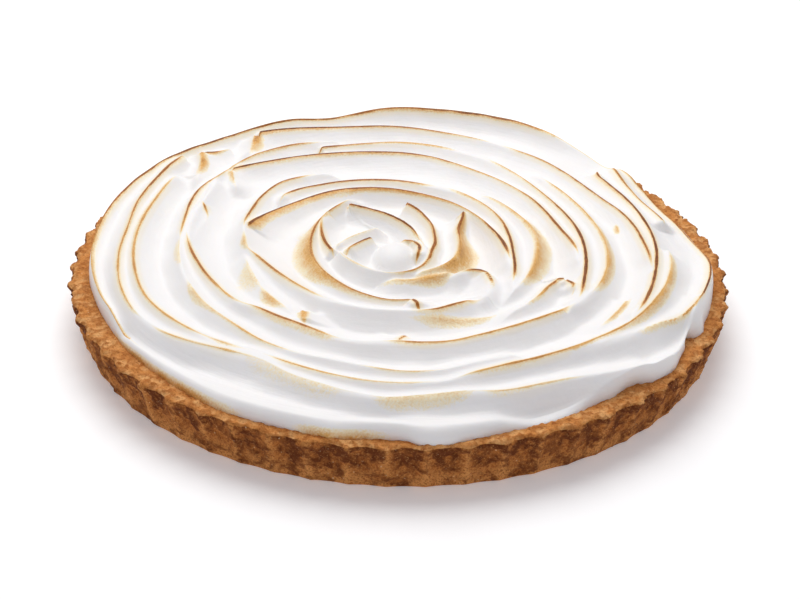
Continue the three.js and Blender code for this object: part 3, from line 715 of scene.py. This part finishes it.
def between(values, share):
    # one value, or values at even steps, read at a share of the way
    values = np.asarray(values, float)
    if values.ndim == 0:
        return np.full(np.shape(share), float(values))
    return np.interp(share, np.linspace(0, 1, len(values)), values)


def smoothStep(value, low, high):
    t = np.clip((value - low) / (high - low), 0, 1)
    return t * t * (3 - 2 * t)


def higherOf(first, second, blend):
    # the higher of two surfaces, with the crease between them filled a little
    share = np.clip(0.5 + (first - second) / (2 * blend), 0, 1)
    return second + (first - second) * share + blend * share * (1 - share)


def sideShare(angle, side):
    # how much an angle belongs to a side that fades at both ends
    middle, full, gone = side
    away = np.abs((np.asarray(angle) - middle + 180) % 360 - 180)
    return 1 - smoothStep(away, full, gone)


def edgeRadius(angle):
    return onCircle([(row[0], row[1]) for row in edge], angle)


def edgeHeight(angle):
    return onCircle([(row[0], row[2]) for row in edge], angle)


def rollReach(angle):
    return onCircle([(row[0], row[3]) for row in edge], angle)


def crestPath(one):
    # points of a crest at even steps, their angles, and how far along it they are
    points = sorted(one["points"])
    angle = np.linspace(points[0][0], points[-1][0], 600)
    radius = through(points, angle)
    turns = np.radians(angle)
    path = np.stack([radius * np.cos(turns), radius * np.sin(turns)], 1)
    length = np.concatenate([[0], np.cumsum(np.linalg.norm(np.diff(path, axis=0), axis=1))])
    steps = np.linspace(0, length[-1], max(4, int(length[-1] / meringue["crestStep"])) + 1)
    path = np.stack([np.interp(steps, length, path[:, 0]), np.interp(steps, length, path[:, 1])], 1)
    return path, np.interp(steps, length, angle), steps


def nearestOnPath(path, steps, x, y):
    # distance to a crest, how far along it, and 1 outside it or -1 inside
    best = np.full(len(x), np.inf)
    travelled = np.zeros(len(x))
    side = np.ones(len(x))
    for k in range(len(path) - 1):
        ax, ay = path[k]
        dx, dy = path[k + 1] - path[k]
        t = np.clip(((x - ax) * dx + (y - ay) * dy) / (dx * dx + dy * dy), 0, 1)
        px = x - ax - dx * t
        py = y - ay - dy * t
        distance = np.hypot(px, py)
        closer = distance < best
        best = np.where(closer, distance, best)
        travelled = np.where(closer, steps[k] + (steps[k + 1] - steps[k]) * t, travelled)
        side = np.where(closer, np.where(dx * py - dy * px < 0, 1.0, -1.0), side)
    return best, travelled, side


ringSpacing = {
    "gap": 5,            # how many rings lie from one crest to the next beside it
    "easings": 260,
    "evenShare": 0.45,   # of the way to the middle between the two rings beside it
    "levelShare": 0.55,  # of the way to the radius of the next points of its own ring
    "room": 0.2,         # between two rings that is always left
    "climb": 0.014,      # of its radius, that a crest may climb in a degree and still get a ring
    "along": 0.77,       # of its arc, that a crest may climb and still count as running round
}


def crestSpan(one):
    # first and last angle, and the mean radius
    table = np.array(sorted(one["points"]))
    return table[0, 0], table[-1, 0], table[:, 1].mean()


def runsRound(one):
    start, end, mean = crestSpan(one)
    climb = np.ptp([radius for _, radius in one["points"]])
    return climb < ringSpacing["along"] * math.radians(end - start) * mean


def ringNet(angle, rim):
    # radii of the rings at each angle: a crest that runs round lies on one ring all its way
    count = meringue["rings"]
    step = rim.mean() / count
    held = np.zeros((len(angle), count), bool)
    radii = np.zeros((len(angle), count))
    held[:, -1] = True
    radii[:, -1] = rim
    placed = []
    for one in sorted(filter(runsRound, crests), key=lambda one: crestSpan(one)[2]):
        start, end, mean = crestSpan(one)
        at = start + (angle - start) % 360
        points = sorted(one["points"])
        climb = through(points, at + 0.5) - through(points, at - 0.5)
        passes = (at <= end) & (np.abs(climb) < ringSpacing["climb"] * through(points, at))
        inner = [ring + ringSpacing["gap"] for mask, ring in placed if (mask & passes).any()]
        ring = max([int(round(mean / step)) - 1] + inner)
        if ring > count - 4:
            # too near to the edge and to other crests: the net is fine enough there as it is
            continue
        held[passes, ring] = True
        radii[passes, ring] = through(points, at[passes])
        placed.append((passes, ring))
    for k in range(len(angle)):
        known = np.flatnonzero(held[k])
        values = np.concatenate([[0], np.maximum.accumulate(radii[k, known])])
        radii[k] = np.interp(np.arange(count), np.concatenate([[-1], known]), values)
    for _ in range(ringSpacing["easings"]):
        inside = np.concatenate([np.zeros((len(angle), 1)), radii[:, :-2]], 1)
        outside = radii[:, 1:]
        room = outside - inside
        even = inside + room / 2
        level = (np.roll(radii, 1, 0) + np.roll(radii, -1, 0))[:, :-1] / 2
        eased = even * ringSpacing["evenShare"] + level * ringSpacing["levelShare"]
        eased = np.clip(eased, inside + room * ringSpacing["room"], outside - room * ringSpacing["room"])
        radii[:, :-1] = np.where(held[:, :-1], radii[:, :-1], eased)
    return radii


def easedEnds(behind, ahead, startFade, endFade, early):
    # rises near one end and sinks near the other; early is the share of it beyond the ends
    ease = smoothStep(behind, -startFade * early, startFade)
    return ease * smoothStep(ahead, -endFade * early, endFade)


def toastFade(fade, toEnd):
    # browning starts and ends softly, but shortly where its crest meets another one
    return min(fade * 1.5, 2.0) if toEnd < 4 and fade < 4 else 9.0


def crestField(x, y):
    # how high the crests lift each point, and how brown they make it
    sizes = meringue
    front = sideShare(np.degrees(np.arctan2(y, x)), sizes["slopingSide"])
    shape = {}
    for name in ("innerWidth", "innerPower", "outerWidth", "outerPower"):
        ahead = sizes["front" + name[0].upper() + name[1:]]
        shape[name] = sizes[name] + (ahead - sizes[name]) * front
    outside = smoothStep(np.hypot(x, y), *sizes["middleReach"])
    narrow = sizes["middleScale"] + (1 - sizes["middleScale"]) * outside
    shape["innerWidth"] *= narrow
    shape["outerWidth"] *= narrow
    lift = np.zeros(len(x))
    near = np.zeros(len(x))
    scorchSum = np.zeros(len(x))
    scorchWeight = np.full(len(x), 1e-6)
    tan = np.zeros(len(x))
    reach = sizes["crestReach"]
    for one in crests:
        path, angles, steps = crestPath(one)
        low = path.min(0) - reach
        high = path.max(0) + reach
        picked = np.flatnonzero((x > low[0]) & (x < high[0]) & (y > low[1]) & (y < high[1]))
        distance, travelled, side = nearestOnPath(path, steps, x[picked], y[picked])
        close = distance < reach
        picked = picked[close]
        distance, travelled, side = distance[close], travelled[close], side[close]
        startFade, endFade = one["fade"]
        ease = easedEnds(travelled, steps[-1] - travelled, startFade, endFade, 0.3)
        width = np.where(side > 0, shape["outerWidth"][picked], shape["innerWidth"][picked])
        power = np.where(side > 0, shape["outerPower"][picked], shape["innerPower"][picked])
        blunt = sizes["crestRounding"] if runsRound(one) else sizes["acrossRounding"]
        rounded = np.sqrt(distance ** 2 + blunt ** 2) - blunt
        rise = between(one["rise"], travelled / steps[-1]) * ease
        bump = rise * np.maximum(0, 1 - rounded / width) ** power
        lift[picked] += bump ** sizes["ridgeBlend"]
        tent = np.maximum(0, 1 - distance / sizes["brownReach"])
        near[picked] = np.maximum(near[picked], tent)
        weight = tent ** 8
        scorchWeight[picked] += weight
        where = np.interp(travelled, steps, angles)
        for part in one["toasts"]:
            begin, finish = np.interp([part["start"], part["end"]], angles, steps)
            share = (where - part["start"]) / (part["end"] - part["start"])
            startSoft = toastFade(startFade, begin)
            endSoft = toastFade(endFade, steps[-1] - finish)
            ends = easedEnds(travelled - begin, finish - travelled, startSoft, endSoft, 0.5)
            scorchSum[picked] += between(part["line"], share) * ends * weight
            for key, sign in (("outer", 1), ("inner", -1)):
                band = between(part[key], share)
                cover = np.clip(sizes["bandSoftness"] - distance / np.maximum(band, 0.01), 0, 1)
                cover = np.maximum(cover * (side == sign), distance < 0.3) * (band > 0.05)
                tan[picked] = np.maximum(tan[picked], cover * between(part["tone"], share) * ends)
    return lift ** (1 / sizes["ridgeBlend"]), near, scorchSum / scorchWeight, tan


def crestLevel(radius, angle):
    # height of the crests: a low dome that turns down towards the crest of the edge
    sizes = meringue
    def dome(at):
        return sizes["shoulderHeight"] + (sizes["crownHeight"] - sizes["shoulderHeight"]) * (
            1 - (at / sizes["shoulderRadius"]) ** 2)
    rim = edgeRadius(angle)
    outwards = np.maximum(0, radius - sizes["shoulderStart"]) / (rim - sizes["shoulderStart"])
    edgeTop = edgeHeight(angle) + sizes["valleyDepth"] * (1 - sizes["edgeShare"])
    return dome(radius) + (edgeTop - dome(rim)) * outwards ** 3


# a round lump in the very middle
lump = {
    "x": -1.5,
    "y": -12.8,
    "halfWidth": 10.5,
    "halfLength": 12.5,
    "top": 36.6,
    "height": 9.0,
    "creaseFilling": 0.5,
}


def softNoise(x, y, size, seed):
    # smooth random swell from a few crossing waves
    draw = np.random.default_rng(seed)
    total = np.zeros(len(x))
    for _ in range(9):
        heading = draw.uniform(0, 2 * math.pi)
        wave = size * draw.uniform(0.7, 1.6)
        along = x * math.cos(heading) + y * math.sin(heading)
        total += np.sin(along * 2 * math.pi / wave + draw.uniform(0, 6.3))
    return total / 3


def meringueTop(x, y):
    # heights of the upper side, and its marks: nearness to a crest, scorched lines, tan bands
    sizes = meringue
    blend = sizes["ridgeBlend"]
    lift, near, scorch, tan = crestField(x, y)
    spread = np.hypot(x, y)
    theta = np.degrees(np.arctan2(y, x))
    toEdge = edgeRadius(theta) - spread
    rollWidth = rollReach(theta)
    rolling = np.clip(rollWidth / sizes["rollStart"], 0, 1)
    edgeBump = np.maximum(0, onCircle(edgeRise, theta))
    edgeBump = edgeBump * np.maximum(0, 1 - toEdge / sizes["edgeWidth"]) ** 2 * (1 - rolling)
    lift = np.minimum((lift ** blend + edgeBump ** blend) ** (1 / blend), 1.0)
    z = crestLevel(spread, theta) - sizes["valleyDepth"] * (1 - lift)
    hollow = np.maximum(0, 1 - toEdge / sizes["notchReach"]) ** sizes["notchPower"]
    z -= np.maximum(0, onCircle(notch, theta)) * hollow
    z += sizes["ripple"] * softNoise(x, y, sizes["rippleSize"], sizes["seed"]) * (1 - lift)
    across = ((x - lump["x"]) / lump["halfWidth"]) ** 2 + ((y - lump["y"]) / lump["halfLength"]) ** 2
    dollop = lump["top"] - lump["height"] * (1 - np.sqrt(np.maximum(0, 1 - across)))
    z = higherOf(z, np.where(across < 1, dollop, z - 2), lump["creaseFilling"])
    # the fat roll along the front lies against the lowest crest, with a crease between them
    roll = edgeHeight(theta) + sizes["rollSlope"] * np.minimum(toEdge, rollWidth)
    roll -= np.maximum(0, toEdge - rollWidth)
    swell = softNoise(x, y, sizes["rollSwellSize"], sizes["seed"] + 1)
    roll += sizes["rollSwell"] * swell * smoothStep(toEdge, 0.0, 4.0)
    z = higherOf(z, roll - sizes["rollSink"] * (1 - rolling), sizes["creaseFilling"])

    # browning of the edge's own crest
    line = onCircle(edgeBrowning["line"], theta)
    band = onCircle(edgeBrowning["inner"], theta)
    edgeTent = np.maximum(0, 1 - toEdge / sizes["brownReach"])
    weight = edgeTent ** 6
    scorch = np.where(edgeTent > near, line, scorch * (1 - weight) + line * weight)
    near = np.maximum(near, edgeTent)
    cover = np.clip(sizes["bandSoftness"] - toEdge / np.maximum(band, 0.01), 0, 1)
    tan = np.maximum(tan, sizes["edgeTone"] * cover * (band > 0.3))
    return z, near, scorch, tan


def meringueWall(angle, rim, top):
    # rows of radii, heights and marks from the edge's crest down to the rim, then along a flat
    # underside to a plug inside the crust
    sizes = meringue
    rows = []
    footR = onCircle(foot, angle)
    lipZ = np.full(len(angle), rimHeight - sizes["sink"])
    rolled = sideShare(angle, sizes["rollingSide"])
    line = onCircle(edgeBrowning["line"], angle)
    for k in range(1, sizes["wallRows"] + 1):
        share = k / sizes["wallRows"]
        turn = math.pi / 2 * share
        outwards = share + (math.sin(turn) - share) * rolled
        down = share + (1 - math.cos(turn) - share) * rolled
        bulge = math.sin(math.pi * share) * sizes["wallBulge"] * (1 - rolled)
        wallR = rim + (footR - rim) * outwards + bulge
        wallZ = top + (lipZ - top) * down
        fade = np.full(len(angle), max(0.0, 1 - share * sizes["wallRows"] / sizes["brownRows"]))
        lip = onCircle(edgeBrowning["lip"], angle) * smoothStep(share, 0.4, 0.9)
        rows.append((wallR, wallZ, fade, line, np.clip(lip, 0, 1)))
    none = np.zeros(len(angle))
    rows.append((footR - 1.5, lipZ - 0.3, none, none, none))
    rows.append((none + sizes["plugRadius"], lipZ - 0.5, none, none, none))
    rows.append((none + sizes["plugRadius"] - 1.5, none + sizes["plugFoot"], none, none, none))
    return rows


def columnStep(ring):
    # inner rings keep only every second or fourth column
    step = 1
    for limit, wider in meringue["coarserInside"].items():
        if ring < limit:
            step = max(step, wider)
    return step


def meringueFaces(index, rows, columns, last):
    # from the middle, point 0, over all rows to the middle of the underside
    faces = []
    inner = columnStep(0)
    for column in range(0, columns, inner):
        faces.append((0, index[0, column], index[0, (column + inner) % columns]))
    for row in range(rows - 1):
        step = columnStep(row)
        wider = columnStep(row + 1)
        for column in range(0, columns, step):
            after = (column + step) % columns
            a, b = index[row, column], index[row, after]
            c, d = index[row + 1, column], index[row + 1, after]
            if wider == step:
                faces.append((a, c, d, b))
            else:
                middle = index[row + 1, column + wider]
                faces += [(a, c, middle), (a, middle, b), (b, middle, d)]
    for column in range(columns):
        faces.append((last, index[rows - 1, (column + 1) % columns], index[rows - 1, column]))
    return faces


def makeMeringue(sizes, material):
    columns = sizes["columns"]
    angle = np.arange(columns) * 360 / columns
    turns = np.radians(angle)
    rim = edgeRadius(angle)
    radii = ringNet(angle, rim)
    x = np.append((radii * np.cos(turns)[:, None]).ravel(), 0.0)
    y = np.append((radii * np.sin(turns)[:, None]).ravel(), 0.0)
    z, near, scorch, tan = meringueTop(x, y)
    middle = z[-1]
    values = (x, y, z, near, scorch, tan)
    x, y, z, near, scorch, tan = (value[:-1].reshape(radii.shape) for value in values)

    points = [(0.0, 0.0, middle)]
    marks = [(near[:, 0].mean(), 0.0, 0.0)]
    index = {}
    for ring in range(sizes["rings"]):
        for column in range(0, columns, columnStep(ring)):
            index[ring, column] = len(points)
            points.append((x[column, ring], y[column, ring], z[column, ring]))
            marks.append((near[column, ring], scorch[column, ring], tan[column, ring]))
    wall = meringueWall(angle, rim, z[:, -1])
    for k, (rowR, rowZ, fade, line, lip) in enumerate(wall):
        for column, turn in enumerate(turns):
            index[sizes["rings"] + k, column] = len(points)
            points.append((rowR[column] * math.cos(turn), rowR[column] * math.sin(turn), rowZ[column]))
            marks.append((fade[column], line[column], lip[column]))
    faces = meringueFaces(index, sizes["rings"] + len(wall), columns, len(points))
    points.append((0.0, 0.0, sizes["plugFoot"]))
    marks.append((0.0, 0.0, 0.0))

    mesh = bpy.data.meshes.new("meringue")
    mesh.from_pydata([(px * mm, py * mm, pz * mm) for px, py, pz in points], [], faces)
    values = np.array(marks)
    for k, name in enumerate(("nearCrest", "scorch", "tan")):
        layer = mesh.attributes.new(name, "FLOAT", "POINT")
        layer.data.foreach_set("value", values[:, k].astype(np.float32))
    mesh.shade_smooth()
    mesh.materials.append(material)
    print("meringue: %d faces" % len(mesh.polygons))
    return newPiece("meringue_spread", mesh)


meringueFinish = {
    "white": (0.905, 0.895, 0.88, 1),
    "cream": (0.94, 0.82, 0.57, 1),
    "tan": (0.80, 0.46, 0.145, 1),
    "brown": (0.42, 0.145, 0.022, 1),
    "scorched": (0.13, 0.032, 0.004, 1),
    "steps": ((0.14, "cream"), (0.40, "tan"), (0.68, "brown")),  # between white and scorched
    "roughness": 0.42,
    "specular": 0.2,
    "inside": 0.25,         # share of light that goes through its skin
    "insideDepth": 2.5,
    "insideColor": (1.0, 0.85, 0.7),
    "grainSize": 0.9,
    "patchSize": 8.0,
    "swellSize": 5.0,
    "swellHeight": 0.2,
    "streakSize": 1.7,
    "streakHeight": 0.16,
    "streakTurn": 0.009,    # how slowly the streaks of the spatula change round the middle
    "bumpStrength": 0.8,
    "bumpHeight": 1.0,
}


def makeMeringueMaterial(look):
    material, tree, shader = newMaterial("torched meringue")
    place = addNode(tree, "ShaderNodeTexCoord").outputs["Object"]
    near = readAttribute(tree, "nearCrest")
    scorch = readAttribute(tree, "scorch")
    tan = readAttribute(tree, "tan")
    grain = noise(tree, place, look["grainSize"], detail=3.0, roughness=0.7)
    patches = noise(tree, place, look["patchSize"], detail=2.0)

    # a thin dark line on the crest, broader and darker in places, with a golden seam beside it
    width = ramp(tree, patches, 0.3, 0.7, 0.84, 0.75, smooth=False)
    width = plus(tree, width, ramp(tree, scorch, 0.95, 0.3, 0.0, 0.06))
    line = ramp(tree, minus(tree, near, width), 0.0, 0.10)
    line = times(tree, times(tree, line, scorch), ramp(tree, grain, 0.25, 0.6, 0.68, 1.02))
    seam = times(tree, ramp(tree, near, 0.60, 0.92), ramp(tree, scorch, 0.05, 0.9, 0.0, 0.40))
    seam = times(tree, seam, ramp(tree, grain, 0.3, 0.65, 0.6, 1.15))
    haze = times(tree, ramp(tree, near, 0.0, 0.7, 0.0, 0.08), ramp(tree, scorch, 0.1, 0.8))
    seam = calc(tree, "MAXIMUM", seam, haze)
    # browned bands with a grainy edge
    band = plus(tree, tan, ramp(tree, grain, 0.3, 0.7, -0.16, 0.16, smooth=False))
    band = times(tree, band, ramp(tree, tan, 0.02, 0.16))
    band = times(tree, band, ramp(tree, patches, 0.3, 0.6, 0.8, 1.1))
    browned = calc(tree, "MAXIMUM", seam, times(tree, band, 0.60))
    browned = calc(tree, "MAXIMUM", line, browned, clamp=True)

    colors = addNode(tree, "ShaderNodeValToRGB", {"Fac": browned})
    row = colors.color_ramp.elements
    row[0].color = look["white"]
    row[1].color = look["scorched"]
    for position, name in look["steps"]:
        row.new(position).color = look[name]
    tree.links.new(colors.outputs["Color"], shader.inputs["Base Color"])
    shader.inputs["Roughness"].default_value = look["roughness"]
    shader.inputs["Subsurface Weight"].default_value = look["inside"]
    shader.inputs["Subsurface Radius"].default_value = look["insideColor"]
    shader.inputs["Subsurface Scale"].default_value = look["insideDepth"] * mm
    shader.inputs["Specular IOR Level"].default_value = look["specular"]
    # soft swells all over, streaks along the rings, and a dry grain where it is browned
    swell = noise(tree, place, look["swellSize"], detail=2.0)
    apart = splitVector(tree, place)
    turn = calc(tree, "ARCTAN2", apart["Y"], apart["X"])
    outwards = vectorCalc(tree, "LENGTH", place)
    ringwise = joinVector(tree, outwards, times(tree, turn, look["streakTurn"]), apart["Z"])
    streaks = noise(tree, ringwise, look["streakSize"], detail=3.0, roughness=0.55)
    uneven = times(tree, swell, look["swellHeight"])
    uneven = plus(tree, uneven, times(tree, streaks, look["streakHeight"]))
    dry = times(tree, grain, ramp(tree, browned, 0.05, 0.4, 0.03, 0.35))
    bump = addNode(tree, "ShaderNodeBump", {
        "Height": plus(tree, uneven, dry), "Strength": look["bumpStrength"],
        "Distance": look["bumpHeight"] * mm})
    tree.links.new(bump.outputs["Normal"], shader.inputs["Normal"])
    return material


# Camera, floor and light

view = {
    "distance": 0.8,
    "tilt": 30.0,
    "roll": 1.3,
    "pixelsPerMm": 2.268,
    "middle": (398.3, 306.5),  # where the origin falls in a picture of 800 by 599
    "picture": (800, 599),
    "sensor": 36,
}


def makeCamera(sizes):
    tilt = math.radians(sizes["tilt"])
    place = Vector((0, -math.cos(tilt), math.sin(tilt))) * sizes["distance"]
    forward = -place.normalized()
    right = Vector((1, 0, 0))
    up = right.cross(forward)
    level = Matrix((right, up, -forward)).transposed()
    turned = level @ Matrix.Rotation(math.radians(sizes["roll"]), 3, "Z")
    data = bpy.data.cameras.new("camera")
    data.sensor_width = sizes["sensor"]
    width, height = sizes["picture"]
    data.lens = sizes["pixelsPerMm"] * sizes["distance"] / mm * data.sensor_width / width
    data.shift_x = (width / 2 - sizes["middle"][0]) / width
    data.shift_y = (sizes["middle"][1] - height / 2) / width
    camera = bpy.data.objects.new("camera", data)
    bpy.context.scene.collection.objects.link(camera)
    camera.matrix_world = Matrix.Translation(place) @ turned.to_4x4()
    bpy.context.scene.camera = camera


floorLook = {
    "reach": 4.0,
    "color": (0.86, 0.875, 0.875, 1),
    "roughness": 0.7,
    "glow": (1, 0.95, 0.95, 1),
    "glowStrength": 0.2,
}


def makeFloor(look):
    mesh = bpy.data.meshes.new("floor")
    reach = look["reach"]
    corners = [(-reach, -reach, 0), (reach, -reach, 0), (reach, reach, 0), (-reach, reach, 0)]
    mesh.from_pydata(corners, [], [(0, 1, 2, 3)])
    floor = newPiece("floor", mesh)
    material, _, shader = newMaterial("pale floor")
    shader.inputs["Base Color"].default_value = look["color"]
    shader.inputs["Roughness"].default_value = look["roughness"]
    shader.inputs["Emission Color"].default_value = look["glow"]
    shader.inputs["Emission Strength"].default_value = look["glowStrength"]
    mesh.materials.append(material)


lights = {
    "sky": 0.46,
    "skyColor": (0.945, 0.935, 1.0, 1),
    "key": {"place": (-0.15, 0.85, 1.45), "size": 1.5, "power": 23.5, "color": (1, 0.985, 0.965)},
    "fill": {"place": (-0.6, -1.4, 0.9), "size": 1.2, "power": 0.8, "color": (0.95, 0.94, 1)},
}


def makeLights(sizes):
    world = bpy.data.worlds.new("studio")
    bpy.context.scene.world = world
    world.use_nodes = True
    sky = world.node_tree.nodes["Background"].inputs
    sky["Color"].default_value = sizes["skyColor"]
    sky["Strength"].default_value = sizes["sky"]
    for name in ("key", "fill"):
        data = bpy.data.lights.new(name, "AREA")
        data.shape = "DISK"
        data.size = sizes[name]["size"]
        data.energy = sizes[name]["power"]
        data.color = sizes[name]["color"]
        light = bpy.data.objects.new(name, data)
        light.location = sizes[name]["place"]
        light.rotation_euler = (-Vector(sizes[name]["place"])).to_track_quat("-Z", "Y").to_euler()
        bpy.context.scene.collection.objects.link(light)


makeCamera(view)
makeFloor(floorLook)
makeLights(lights)
bpy.context.scene.view_settings.view_transform = "Standard"
print("camera, floor and lights set")

crustPiece = makeCrust(crust, makeCrustMaterial(crustFinish))
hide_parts("crust")
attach(crustPiece, "root")

meringuePiece = makeMeringue(meringue, makeMeringueMaterial(meringueFinish))
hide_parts("meringue")
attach(meringuePiece, "root")

print("pieces placed")
